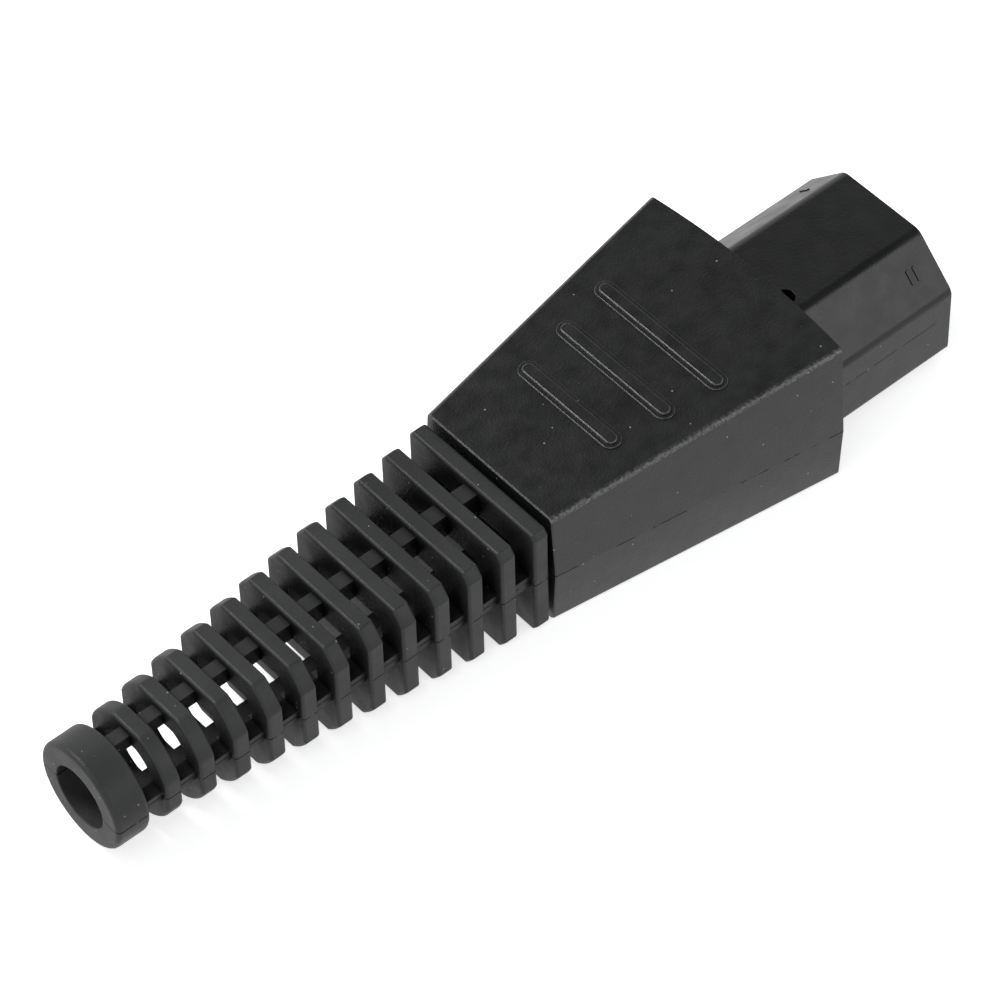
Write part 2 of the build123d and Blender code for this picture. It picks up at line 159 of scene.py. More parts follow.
seen = any_of(world_tree, [ray.outputs["Is Camera Ray"], ray.outputs["Is Glossy Ray"],
                           ray.outputs["Is Transmission Ray"]])
world_mix = world_tree.nodes.new("ShaderNodeMixShader")
world_tree.links.new(seen, world_mix.inputs[0])
world_tree.links.new(ambient.outputs[0], world_mix.inputs[1])
world_tree.links.new(backdrop.outputs[0], world_mix.inputs[2])
world_tree.links.new(world_mix.outputs[0], world_tree.nodes["World Output"].inputs["Surface"])

# %% Floor
floor_size = 3.0
floor_gap = 0.05 * mm
floor_lift = 0.64
floor_mesh = bpy.data.meshes.new("floor")
half = floor_size / 2
floor_z = cad_low.z - floor_gap
floor_mesh.from_pydata([(-half, -half, floor_z), (half, -half, floor_z), (half, half, floor_z),
                        (-half, half, floor_z)], [], [(0, 1, 2, 3)])
floor = bpy.data.objects.new("floor", floor_mesh)
bpy.context.collection.objects.link(floor)
floor_material = bpy.data.materials.new("pale_floor")
floor_material.use_nodes = True
floor_tree = floor_material.node_tree
floor_shader = floor_tree.nodes["Principled BSDF"]
floor_shader.inputs["Base Color"].default_value = (0.94, 0.94, 0.94, 1)
floor_shader.inputs["Roughness"].default_value = 0.9
floor_ray = floor_tree.nodes.new("ShaderNodeLightPath")
floor_mirrored = any_of(floor_tree, [floor_ray.outputs["Is Glossy Ray"],
                                     floor_ray.outputs["Is Transmission Ray"]])
lift = floor_tree.nodes.new("ShaderNodeMath")
lift.operation = "MULTIPLY"
lift.inputs[1].default_value = floor_lift
floor_tree.links.new(floor_ray.outputs["Is Camera Ray"], lift.inputs[0])
floor_glow = floor_tree.nodes.new("ShaderNodeEmission")
floor_glow.inputs["Color"].default_value = (1, 1, 1, 1)
floor_tree.links.new(lift.outputs[0], floor_glow.inputs["Strength"])
floor_sum = floor_tree.nodes.new("ShaderNodeAddShader")
floor_tree.links.new(floor_shader.outputs[0], floor_sum.inputs[0])
floor_tree.links.new(floor_glow.outputs[0], floor_sum.inputs[1])
floor_white = floor_tree.nodes.new("ShaderNodeEmission")
floor_white.inputs["Color"].default_value = (1, 1, 1, 1)
floor_white.inputs["Strength"].default_value = 1.0
floor_mix = floor_tree.nodes.new("ShaderNodeMixShader")
floor_tree.links.new(floor_mirrored, floor_mix.inputs[0])
floor_tree.links.new(floor_sum.outputs[0], floor_mix.inputs[1])
floor_tree.links.new(floor_white.outputs[0], floor_mix.inputs[2])
floor_tree.links.new(floor_mix.outputs[0], floor_tree.nodes["Material Output"].inputs["Surface"])
floor_mesh.materials.append(floor_material)
bpy.context.scene.view_settings.view_transform = "Standard"
print("floor height in mm:", round(floor_z / mm, 2))

# %% [markdown]
# Three lamps finish the light. One stands high behind the left, and its mirror image lands on the rear
# edges of the grip ribs. One hangs overhead, where no edge mirrors it to the camera, and only lights.
# A broad low one fills the side and the nose's chamfer. Each is weak enough that a mid-grey card in
# this place would come out mid-grey.

# %% Lamps
lamp_list = (
    # name, place, aim, width, height, watts
    ("lamp_ribs", (-0.30, 0.36, 0.60), (-0.05, 0.0, 0.0), 0.22, 0.22, 3.4),
    ("lamp_top", (-0.45, -0.20, 0.62), (-0.05, 0.0, 0.0), 0.30, 0.30, 0.6),
    ("lamp_low", (0.20, -0.42, 0.24), (-0.04, 0.0, 0.0), 0.40, 0.30, 0.6),
)


def add_lamp(name, place, aim, width, height, watts):
    """A rectangular lamp that faces its aim point."""
    data = bpy.data.lights.new(name, "AREA")
    data.shape = "RECTANGLE"
    data.size = width
    data.size_y = height
    data.energy = watts
    lamp = bpy.data.objects.new(name, data)
    bpy.context.collection.objects.link(lamp)
    direction = Vector(aim) - Vector(place)
    lamp.matrix_world = Matrix.Translation(place) @ direction.to_track_quat("-Z", "Y").to_matrix().to_4x4()
    return lamp


for lamp_values in lamp_list:
    add_lamp(*lamp_values)
print("lamps:", len(lamp_list))

# %% [markdown]
# ## Materials
# Black plastic is never one flat black. A spark-eroded mould leaves a fine grain that breaks up the
# highlight, the moulding's skin varies a little in gloss, and a few specks of pale dust settle on it.
# One builder function makes all the black mouldings from a colour and a few levels and scales, and a
# second one makes the metals. Both read Object coordinates, so that the grain stays on the piece when
# it moves.

# %% Node helpers
def new_material(name):
    """An empty material with its Principled shader and node tree."""
    material = bpy.data.materials.new(name)
    material.use_nodes = True
    return material, material.node_tree, material.node_tree.nodes["Principled BSDF"]


def add_noise(tree, scale, detail=3.0):
    """A noise texture in Object coordinates, at a scale in cycles per metre."""
    coordinates = tree.nodes.new("ShaderNodeTexCoord")
    noise = tree.nodes.new("ShaderNodeTexNoise")
    noise.inputs["Scale"].default_value = scale
    noise.inputs["Detail"].default_value = detail
    tree.links.new(coordinates.outputs["Object"], noise.inputs["Vector"])
    return noise


def remap(tree, socket, low, high, new_low, new_high):
    """A Map Range node's output."""
    node = tree.nodes.new("ShaderNodeMapRange")
    node.inputs["From Min"].default_value = low
    node.inputs["From Max"].default_value = high
    node.inputs["To Min"].default_value = new_low
    node.inputs["To Max"].default_value = new_high
    tree.links.new(socket, node.inputs["Value"])
    return node.outputs["Result"]


def mix_colours(tree, factor, first, second):
    """A colour mix of a socket or colour with another."""
    node = tree.nodes.new("ShaderNodeMix")
    node.data_type = "RGBA"
    tree.links.new(factor, node.inputs["Factor"])
    for socket, value in ((node.inputs["A"], first), (node.inputs["B"], second)):
        if isinstance(value, tuple):
            socket.default_value = value
        else:
            tree.links.new(value, socket)
    return node.outputs["Result"]


# %% [markdown]
# A mould closes along a parting plane, and wherever its halves don't quite meet, a hair of plastic or
# a faint step is left. On this part that line runs along the middle of both sides, broken into dashes.
# It lies at height zero, so the finish can find it from the Object coordinates, and a one-dimensional
# noise along the part breaks it up.

# %% Parting line
parting_half_width = 0.085 * mm
parting_fade = 1.6


def parting_mask(tree, dash_scale, share):
    """One on the dashes of the mould's parting line, and nought elsewhere."""
    coordinates = tree.nodes.new("ShaderNodeTexCoord")
    split = tree.nodes.new("ShaderNodeSeparateXYZ")
    tree.links.new(coordinates.outputs["Object"], split.inputs[0])
    height = tree.nodes.new("ShaderNodeMath")
    height.operation = "ABSOLUTE"
    tree.links.new(split.outputs["Z"], height.inputs[0])
    line = remap(tree, height.outputs[0], parting_half_width, parting_fade * parting_half_width, 1.0, 0.0)
    dashes = tree.nodes.new("ShaderNodeTexNoise")
    dashes.noise_dimensions = "1D"
    dashes.inputs["Scale"].default_value = dash_scale
    dashes.inputs["Detail"].default_value = 2.0
    tree.links.new(split.outputs["X"], dashes.inputs["W"])
    kept = remap(tree, dashes.outputs["Fac"], 0.62 - 0.3 * share, 0.66 - 0.3 * share, 0.0, 1.0)
    mask = tree.nodes.new("ShaderNodeMath")
    mask.operation = "MULTIPLY"
    tree.links.new(line, mask.inputs[0])
    tree.links.new(kept, mask.inputs[1])
    return mask.outputs[0]


# %% [markdown]
# A few pale specks of dust make a black part look real. They could be painted, but a rule needs no
# picture: a Voronoi texture puts one point in every cell of space, and a speck shows only where the
# surface passes close to such a point, and only in a share of the cells.

# %% Dust
dust_colour = (0.30, 0.29, 0.27, 1)
dust_cells = 620.0
dust_radius = 0.075


def dust_mask(tree, share):
    """One on a few tiny round specks, at most one to a cell of a millimetre or two."""
    coordinates = tree.nodes.new("ShaderNodeTexCoord")
    cells = tree.nodes.new("ShaderNodeTexVoronoi")
    cells.inputs["Scale"].default_value = dust_cells
    tree.links.new(coordinates.outputs["Object"], cells.inputs["Vector"])
    split = tree.nodes.new("ShaderNodeSeparateColor")
    tree.links.new(cells.outputs["Color"], split.inputs["Color"])
    rare = tree.nodes.new("ShaderNodeMath")
    rare.operation = "GREATER_THAN"
    rare.inputs[1].default_value = 1.0 - share
    tree.links.new(split.outputs["Red"], rare.inputs[0])
    near = remap(tree, cells.outputs["Distance"], 0.6 * dust_radius, dust_radius, 1.0, 0.0)
    mask = tree.nodes.new("ShaderNodeMath")
    mask.operation = "MULTIPLY"
    tree.links.new(near, mask.inputs[0])
    tree.links.new(rare.outputs[0], mask.inputs[1])
    return mask.outputs[0]


# %% [markdown]
# Hands and bags rub the raised edges of the hood paler. The edges that take the wear get a mark on
# their faces later on, when the piece is copied, and the rearward-facing edges get the same mark as a
# painted highlight. The finish reads that mark and breaks it into speckles.

# %% Scuffs and painted highlights
# The pale colour serves for the scuffs and for a painted highlight on the rearward edges.
scuff_and_highlight_colour = (0.22, 0.22, 0.225, 1)
scuff_and_highlight_scale = 3000.0


def scuff_and_highlight_mask(tree):
    """Speckles on the faces that carry the mark: scuffs at the sides, a painted highlight at the rear."""
    mark = tree.nodes.new("ShaderNodeAttribute")
    mark.attribute_name = "scuff_and_highlight"
    speckles = remap(tree, add_noise(tree, scuff_and_highlight_scale, 2.0).outputs["Fac"], 0.30, 0.72, 0.06, 0.62)
    mask = tree.nodes.new("ShaderNodeMath")
    mask.operation = "MULTIPLY"
    tree.links.new(mark.outputs["Fac"], mask.inputs[0])
    tree.links.new(speckles, mask.inputs[1])
    return mask.outputs[0]


# %% [markdown]
# The gaps between the boot's rings are nearly black on the real part, because little light gets in. An
# Ambient Occlusion node that looks only at the piece itself finds those hollows, and paints shade into
# both the colour and the mirror tint in them. Grain and gloss come from noise: fine noise bends the
# normal, and coarser noise makes the gloss patchy.

# %% Black mouldings
parting_colour = (0.002, 0.002, 0.002, 1)
# Painted shade: the colour that narrow hollows darken towards.
painted_shade_colour = (0.003, 0.003, 0.003, 1)
shade_reach = 4.0 * mm
full_sheen = (1, 1, 1, 1)
patch_scale = 90.0
gloss_scale = 420.0
patch_light = 1.5


def unshaded_share(tree, reach):
    """One in the open, and less in narrow hollows, where shade is painted."""
    hollow = tree.nodes.new("ShaderNodeAmbientOcclusion")
    hollow.samples = 8
    hollow.only_local = True
    hollow.inputs["Distance"].default_value = reach
    return remap(tree, hollow.outputs["AO"], 0.35, 0.92, 0.0, 1.0)


def moulding(name, colour, roughness, specular, grain_scale, grain_depth, dust, dash_scale, dash_share):
    """A moulded black plastic or rubber: grain, patchy gloss, a parting line, scuffs and painted
    highlights, painted shade in hollows and a little dust.
    """
    material, tree, shader = new_material(name)
    nodes, links = tree.nodes, tree.links
    patches = add_noise(tree, patch_scale, 4.0)
    lighter = tuple(c * patch_light for c in colour[:3]) + (1,)
    base = mix_colours(tree, remap(tree, patches.outputs["Fac"], 0.35, 0.75, 0.0, 1.0), colour, lighter)
    parted = parting_mask(tree, dash_scale, dash_share)
    base = mix_colours(tree, parted, base, parting_colour)
    # Scuffs at the sides and a painted highlight on the rearward edges, where the mark is set.
    base = mix_colours(tree, scuff_and_highlight_mask(tree), base, scuff_and_highlight_colour)
    # Painted shade: where the Ambient Occlusion finds a hollow, the colour and the mirror tint go dark.
    shown = unshaded_share(tree, shade_reach)
    base = mix_colours(tree, shown, painted_shade_colour, base)
    shaded_sheen = mix_colours(tree, shown, painted_shade_colour, full_sheen)
    links.new(mix_colours(tree, parted, shaded_sheen, parting_colour), shader.inputs["Specular Tint"])
    links.new(mix_colours(tree, dust_mask(tree, dust), base, dust_colour), shader.inputs["Base Color"])
    gloss = add_noise(tree, gloss_scale, 5.0)
    links.new(remap(tree, gloss.outputs["Fac"], 0.3, 0.7, roughness - 0.05, roughness + 0.06),
              shader.inputs["Roughness"])
    grain = add_noise(tree, grain_scale, 2.0)
    height = nodes.new("ShaderNodeMath")
    height.operation = "SUBTRACT"
    links.new(grain.outputs["Fac"], height.inputs[0])
    links.new(parted, height.inputs[1])
    bump = nodes.new("ShaderNodeBump")
    bump.inputs["Strength"].default_value = 1.0
    bump.inputs["Distance"].default_value = grain_depth
    links.new(height.outputs[0], bump.inputs["Height"])
    links.new(bump.outputs["Normal"], shader.inputs["Normal"])
    shader.inputs["Specular IOR Level"].default_value = specular
    return material


# name, colour, roughness, specular, grain scale, grain depth, dust, dash scale, dash share
hood_plastic = moulding("hood_satin_black", (0.0052, 0.0056, 0.0061, 1), 0.34, 0.56, 3400.0, 0.034 * mm,
                        0.30, 210.0, 0.45)
insert_plastic = moulding("insert_black", (0.0070, 0.0074, 0.0079, 1), 0.30, 0.40, 3200.0, 0.020 * mm,
                          0.15, 330.0, 0.6)
boot_rubber = moulding("boot_rubber", (0.029, 0.0295, 0.030, 1), 0.44, 0.24, 4200.0, 0.038 * mm,
                       0.80, 900.0, 0.8)
clamp_plastic = moulding("clamp_black", (0.030, 0.031, 0.033, 1), 0.45, 0.4, 4200.0, 0.010 * mm,
                         0.0, 900.0, 0.0)
print("black mouldings made")

# %% [markdown]
# Terminals and contacts are stamped or turned from brass, and the screws are plated steel. Drawing and
# turning leave fine lines, so the noise is stretched along X, and it drives gloss and bump alike.
# Patches of dulled skin keep the metal from looking new.

# %% Metals
metal_patch_scale = 260.0
dull_share = 0.72
line_stretch = (0.06, 1.0, 1.0)


def metal(name, colour, roughness, scratch_scale):
    """A bare metal with fine drawn lines along X and patches of dulled skin."""
    material, tree, shader = new_material(name)
    nodes, links = tree.nodes, tree.links
    shader.inputs["Metallic"].default_value = 1.0
    patches = add_noise(tree, metal_patch_scale, 4.0)
    dull = tuple(c * dull_share for c in colour[:3]) + (1,)
    links.new(mix_colours(tree, remap(tree, patches.outputs["Fac"], 0.4, 0.7, 0.0, 1.0), colour, dull),
              shader.inputs["Base Color"])
    coordinates = nodes.new("ShaderNodeTexCoord")
    stretch = nodes.new("ShaderNodeMapping")
    stretch.inputs["Scale"].default_value = line_stretch
    links.new(coordinates.outputs["Object"], stretch.inputs["Vector"])
    lines = nodes.new("ShaderNodeTexNoise")
    lines.inputs["Scale"].default_value = scratch_scale
    links.new(stretch.outputs["Vector"], lines.inputs["Vector"])
    links.new(remap(tree, lines.outputs["Fac"], 0.3, 0.7, roughness - 0.08, roughness + 0.1),
              shader.inputs["Roughness"])
    bump = nodes.new("ShaderNodeBump")
    bump.inputs["Strength"].default_value = 0.6
    bump.inputs["Distance"].default_value = 0.006 * mm
    links.new(lines.outputs["Fac"], bump.inputs["Height"])
    links.new(bump.outputs["Normal"], shader.inputs["Normal"])
    return material


brass = metal("stamped_brass", (0.80, 0.60, 0.28, 1), 0.30, 9000.0)
plated_steel = metal("zinc_plated_steel", (0.66, 0.67, 0.66, 1), 0.28, 8000.0)
print("metals made")

# %% [markdown]
# ## Moulded edges
# No moulded or stamped edge is perfectly sharp: a tenth or two of a millimetre of radius catches a
# thin line of light, and that line tells the eye how big the thing is. The CAD meshes come as loose
# triangles. So each one is copied, its points are merged, its flat areas are cleaned, and a Bevel
# modifier rounds what is still sharp. Before that, the hood's narrow fillet strips that face sideways
# get a mark, since handling scuffs them paler, and those that face rearwards get the same mark as a
# painted highlight. The roof leans back a little by itself, so the rearward mark only starts beyond
# that. The copy stands for the CAD piece and keeps its form.

# %% Copy a piece with soft edges
finish_of_slot = {
    "hood_plastic": hood_plastic,
    "insert_plastic": insert_plastic,
    "boot_rubber": boot_rubber,
    "clamp_plastic": clamp_plastic,
    "brass": brass,
    "plated_steel": plated_steel,
}
slot_of_node = {row["node"]: row["material_slot"] for row in frame["record"]["subparts"]}
record_bodies = frame["record"]["behaviour"]["bodies"]
body_of_node = {node: body for body, nodes in record_bodies.items() for node in nodes}
merge_distance = 0.002 * mm
sharp_angle = math.radians(28)
flat_angle = math.radians(0.5)
joint_share = 0.3
scuff_and_highlight_strip = 0.30 * mm
scuffed_and_highlighted_nodes = ("hood",)
side_wear = 1.6
# Strength of the painted highlight on rearward-facing fillet strips.
rear_painted_highlight = 1.4
roof_lean = 0.15
least_slope = 0.15


def weigh_edges(work):
    """Mark the sharp edges for the Bevel modifier, and less so where two halves meet at height zero."""
    weight = work.edges.layers.float.new("bevel_weight_edge")
    for edge in work.edges:
        if len(edge.link_faces) == 2 and edge.calc_face_angle(0.0) > sharp_angle:
            at_joint = all(abs(corner.co.z) < merge_distance for corner in edge.verts)
            edge[weight] = joint_share if at_joint else 1.0


def mark_scuffs_and_highlights(work):
    """Mark the narrow strips of fillets from nought to one: scuffs on the sideways ones, a painted
    highlight on the rearward ones.
    """
    mark = work.faces.layers.float.new("scuff_and_highlight")
    for face in work.faces:
        longest = max(edge.calc_length() for edge in face.edges)
        narrow = face.calc_area() < scuff_and_highlight_strip * longest
        # The sideways term is handling wear; the rearward term is a painted highlight.
        wear = max(0.0, side_wear * abs(face.normal.y), rear_painted_highlight * (-face.normal.x - roof_lean))
        face[mark] = min(1.0, wear) if narrow and abs(face.normal.z) > least_slope else 0.0


def soft_edged(node, radius, segments=2):
    """A merged copy of a CAD piece whose sharp edges are rounded."""
    mesh = frame["nodes"][node].data.copy()
    mesh.name = node + "_moulded"
    work = bmesh.new()
    work.from_mesh(mesh)
    bmesh.ops.remove_doubles(work, verts=work.verts, dist=merge_distance)
    bmesh.ops.dissolve_limit(work, angle_limit=flat_angle, verts=work.verts, edges=work.edges)
    weigh_edges(work)
    if node in scuffed_and_highlighted_nodes:
        mark_scuffs_and_highlights(work)
    work.to_mesh(mesh)
    work.free()
    piece = bpy.data.objects.new(node + "_piece", mesh)
    bpy.context.collection.objects.link(piece)
    bevel = piece.modifiers.new("edge", "BEVEL")
    bevel.width = radius
    bevel.segments = segments
    bevel.limit_method = "WEIGHT"
    bevel.use_clamp_overlap = True
    flat = piece.modifiers.new("flat faces", "WEIGHTED_NORMAL")
    flat.keep_sharp = True
    mesh.materials.clear()
    mesh.materials.append(finish_of_slot[slot_of_node[node]])
    mesh.polygons.foreach_set("use_smooth", [True] * len(mesh.polygons))
    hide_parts(node)
    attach(piece, body_of_node[node])
    return piece


edge_radius = {"hood": 0.14 * mm, "insert_base": 0.12 * mm, "insert_cover": 0.12 * mm}
mouldings = {node: soft_edged(node, radius) for node, radius in edge_radius.items()}
for node, made in mouldings.items():
    print(node, "copied with", len(made.data.polygons), "faces")

# %% [markdown]
# Small raised bars on the nose's two chamfers tell the fitter which side is which: one bar on the line
# side and two on the neutral side. They are plain blocks, half sunk in the slope, and part of the cover.

# %% Pole bars
bar_size = Vector((0.35, 1.8, 0.24)) * mm
bar_places = ((-3.6, 1), (-3.1, -1), (-4.1, -1))
chamfer_y = 9.1 * mm
chamfer_z = 6.6 * mm
cover_mesh = mouldings["insert_cover"].data
work = bmesh.new()
work.from_mesh(cover_mesh)
for bar_x, side in bar_places:
    place = Matrix.Translation((bar_x * mm, side * chamfer_y, chamfer_z))
    tilt = Matrix.Rotation(-side * math.pi / 4, 4, "X")
    bmesh.ops.create_cube(work, size=1.0, matrix=place @ tilt @ Matrix.Diagonal((*bar_size, 1.0)))
work.to_mesh(cover_mesh)
work.free()
print("pole bars:", len(bar_places))

# %% [markdown]
# ## The boot
# The boot is one soft moulding: twelve rings that are square-shouldered at the hood and round at the
# collar, held together by four thin webs in each gap. Its shape follows a rule from ring to ring, so
# Geometry Nodes can draw it. One tree makes a row of rings from a flat grid: one side of the grid runs
# round a ring's cross-section, and the other runs round the boot. The first is bent into a rounded
# rectangle, and the second into a rectangle whose corners a round limit cuts off, a little at the hood
# and almost to a circle at the collar. The same tree, with one ring, draws the collar, neck and lip.

# %% Arithmetic with nodes
class Number:
    """A value in a node tree. Its arithmetic adds Math nodes."""

    def __init__(self, tree, socket):
        self.tree = tree
        self.socket = socket

    def use(self, operation, *others):
        """The result of a Math node on this value and others."""
        node = self.tree.nodes.new("ShaderNodeMath")
        node.operation = operation
        for index, value in enumerate((self, *others)):
            if isinstance(value, Number):
                self.tree.links.new(value.socket, node.inputs[index])
            else:
                node.inputs[index].default_value = value
        return Number(self.tree, node.outputs[0])

    def __add__(self, other):
        return self.use("ADD", other)

    def __sub__(self, other):
        return self.use("SUBTRACT", other)

    def __mul__(self, other):
        return self.use("MULTIPLY", other)

    def __truediv__(self, other):
        return self.use("DIVIDE", other)


def new_tree(name, inputs, materials=True):
    """A Geometry Nodes tree with named number inputs, and the numbers by name."""
    tree = bpy.data.node_groups.new(name, "GeometryNodeTree")
    tree.interface.new_socket("Geometry", in_out="INPUT", socket_type="NodeSocketGeometry")
    tree.interface.new_socket("Geometry", in_out="OUTPUT", socket_type="NodeSocketGeometry")
    for title, kind in inputs:
        tree.interface.new_socket(title, in_out="INPUT", socket_type=kind)
    if materials:
        tree.interface.new_socket("Material", in_out="INPUT", socket_type="NodeSocketMaterial")
    group_in = tree.nodes.new("NodeGroupInput")
    group_out = tree.nodes.new("NodeGroupOutput")
    numbers = {title: Number(tree, group_in.outputs[title]) for title, _ in inputs}
    return tree, group_in, group_out, numbers


def node_with(tree, kind, values=(), links=(), **settings):
    """A node with settings, socket values by name, and links by socket name."""
    node = tree.nodes.new(kind)
    for key, value in settings.items():
        setattr(node, key, value)
    for key, value in dict(values).items():
        node.inputs[key].default_value = value
    for key, socket in dict(links).items():
        tree.links.new(socket, node.inputs[key])
    return node


def finish_tree(tree, group_in, group_out, geometry):
    """End a tree in Realize Instances, smooth shading and Set Material."""
    realize = node_with(tree, "GeometryNodeRealizeInstances", links={"Geometry": geometry})
    smooth = node_with(tree, "GeometryNodeSetShadeSmooth", links={"Geometry": realize.outputs[0]})
    dressed = node_with(tree, "GeometryNodeSetMaterial",
                        links={"Geometry": smooth.outputs[0], "Material": group_in.outputs["Material"]})
    tree.links.new(dressed.outputs[0], group_out.inputs["Geometry"])


def run_tree(tree, name, values):
    """The mesh that a tree makes from a set of named inputs."""
    carrier = bpy.data.objects.new(name, bpy.data.meshes.new(name))
    bpy.context.collection.objects.link(carrier)
    modifier = carrier.modifiers.new("nodes", "NODES")
    modifier.node_group = tree
    for item in tree.interface.items_tree:
        if item.item_type == "SOCKET" and item.in_out == "INPUT" and item.name in values:
            modifier[item.identifier] = values[item.name]
    depsgraph = bpy.context.evaluated_depsgraph_get()
    mesh = bpy.data.meshes.new_from_object(carrier.evaluated_get(depsgraph))
    bpy.data.objects.remove(carrier)
    return mesh


# %% The ring tree
corner_steps = 10
edge_steps = 5
quarter_turn = math.pi / 2


def rounded_corner(count_index, steps):
    """Angle and side signs of a point that runs round a rounded rectangle, by its index."""
    wrapped = count_index.use("MODULO", 4.0 * steps)
    quarter = (wrapped / float(steps)).use("FLOOR")
    step = wrapped - quarter * float(steps)
    angle = (quarter + step / float(steps - 1)) * quarter_turn
    first_sign = ((quarter + 0.5) * quarter_turn).use("COSINE").use("SIGN")
    second_sign = ((quarter + 0.5) * quarter_turn).use("SINE").use("SIGN")
    return angle, first_sign, second_sign


def cut_corner(count_index, steps, half_y, half_z, limit):
    """A point round a rectangle whose corners an arc of the limit's radius cuts off, by its index."""
    wrapped = count_index.use("MODULO", 4.0 * steps)
    quarter = (wrapped / float(steps)).use("FLOOR")
    share = (wrapped - quarter * float(steps)) / float(steps - 1)
    y_sign = ((quarter + 0.5) * quarter_turn).use("COSINE").use("SIGN")
    z_sign = ((quarter + 0.5) * quarter_turn).use("SINE").use("SIGN")
    corner = (half_y * half_y + half_z * half_z).use("SQRT") * 0.9995
    radius = limit.use("MINIMUM", corner)
    low = (half_y / radius).use("MINIMUM", 1.0).use("ARCCOSINE")
    high = (half_z / radius).use("MINIMUM", 1.0).use("ARCSINE")
    turned = (y_sign * z_sign + 1.0) / 2.0
    forward = turned * (share * 2.0 - 1.0) - share + 1.0
    angle = low + (high - low) * forward
    return y_sign * radius * angle.use("COSINE"), z_sign * radius * angle.use("SINE")


def build_ring_tree():
    """A row of rounded rings whose outline changes evenly from the first to the last."""
    inputs = [("Rings", "NodeSocketInt")] + [(title, "NodeSocketFloat") for title in (
        "First Front", "Pitch", "Thickness", "First Half Width", "First Half Height", "Last Half",
        "First Round", "Last Round", "First Wall", "Last Wall", "Edge Radius", "Bore Edge Radius")]
    tree, group_in, group_out, n = new_tree("boot_rings", inputs)
    line = node_with(tree, "GeometryNodeMeshLine", values={"Offset": (0, 0, 0)},
                     links={"Count": n["Rings"].socket})
    index = node_with(tree, "GeometryNodeInputIndex")
    marked = node_with(tree, "GeometryNodeStoreNamedAttribute", values={"Name": "ring"},
                       links={"Geometry": line.outputs[0], "Value": index.outputs[0]},
                       data_type="FLOAT", domain="POINT")
    across = 4 * edge_steps + 1
    around = 4 * corner_steps + 1
    grid = node_with(tree, "GeometryNodeMeshGrid",
                     values={"Size X": 1.0, "Size Y": 1.0, "Vertices X": across, "Vertices Y": around})
    grid_index = Number(tree, node_with(tree, "GeometryNodeInputIndex").outputs[0])
    stored = grid.outputs["Mesh"]
    columns = {"round": grid_index.use("MODULO", float(around)),
               "edge": (grid_index / float(around)).use("FLOOR")}
    for title, value in columns.items():
        stored = node_with(tree, "GeometryNodeStoreNamedAttribute", values={"Name": title},
                           links={"Geometry": stored, "Value": value.socket},
                           data_type="FLOAT", domain="POINT").outputs[0]
    rings = node_with(tree, "GeometryNodeInstanceOnPoints",
                      links={"Points": marked.outputs[0], "Instance": stored})
    flat = node_with(tree, "GeometryNodeRealizeInstances", links={"Geometry": rings.outputs[0]})

    def attribute(title):
        node = node_with(tree, "GeometryNodeInputNamedAttribute", values={"Name": title}, data_type="FLOAT")
        return Number(tree, node.outputs["Attribute"])

    ring = attribute("ring")
    share = ring / (n["Rings"] - 1.0).use("MAXIMUM", 1.0)
    half_y = n["First Half Width"] + (n["Last Half"] - n["First Half Width"]) * share
    half_z = n["First Half Height"] + (n["Last Half"] - n["First Half Height"]) * share
    round_r = n["First Round"] + (n["Last Round"] - n["First Round"]) * share
    wall = n["First Wall"] + (n["Last Wall"] - n["First Wall"]) * share
    edge_angle, along_sign, depth_sign = rounded_corner(attribute("edge"), edge_steps)
    half_thick = n["Thickness"] / 2.0
    half_wall = wall / 2.0
    outer_share = (depth_sign + 1.0) / 2.0
    edge = n["Bore Edge Radius"] + (n["Edge Radius"] - n["Bore Edge Radius"]) * outer_share
    along = along_sign * (half_thick - edge) + edge * edge_angle.use("COSINE")
    depth = half_wall - depth_sign * (half_wall - edge) - edge * edge_angle.use("SINE")
    y, z = cut_corner(attribute("round"), corner_steps, half_y - depth, half_z - depth, round_r - depth)
    x = n["First Front"] - half_thick - ring * n["Pitch"] + along
    place = node_with(tree, "ShaderNodeCombineXYZ", links={"X": x.socket, "Y": y.socket, "Z": z.socket})
    bent = node_with(tree, "GeometryNodeSetPosition",
                     links={"Geometry": flat.outputs[0], "Position": place.outputs[0]})
    closed = node_with(tree, "GeometryNodeMergeByDistance", values={"Distance": 1e-7},
                       links={"Geometry": bent.outputs[0]})
    finish_tree(tree, group_in, group_out, closed.outputs[0])
    return tree


ring_tree = build_ring_tree()
print("ring tree:", len(ring_tree.nodes), "nodes")

# %% [markdown]
# The webs are small blocks. There are four in every gap, one at the top, one below and one at each
# side, and each reaches from a little below the rings' outer surface to their bore. A second tree sets
# one block for each number from nought up, and works out from the number which gap and which side it
# belongs to.

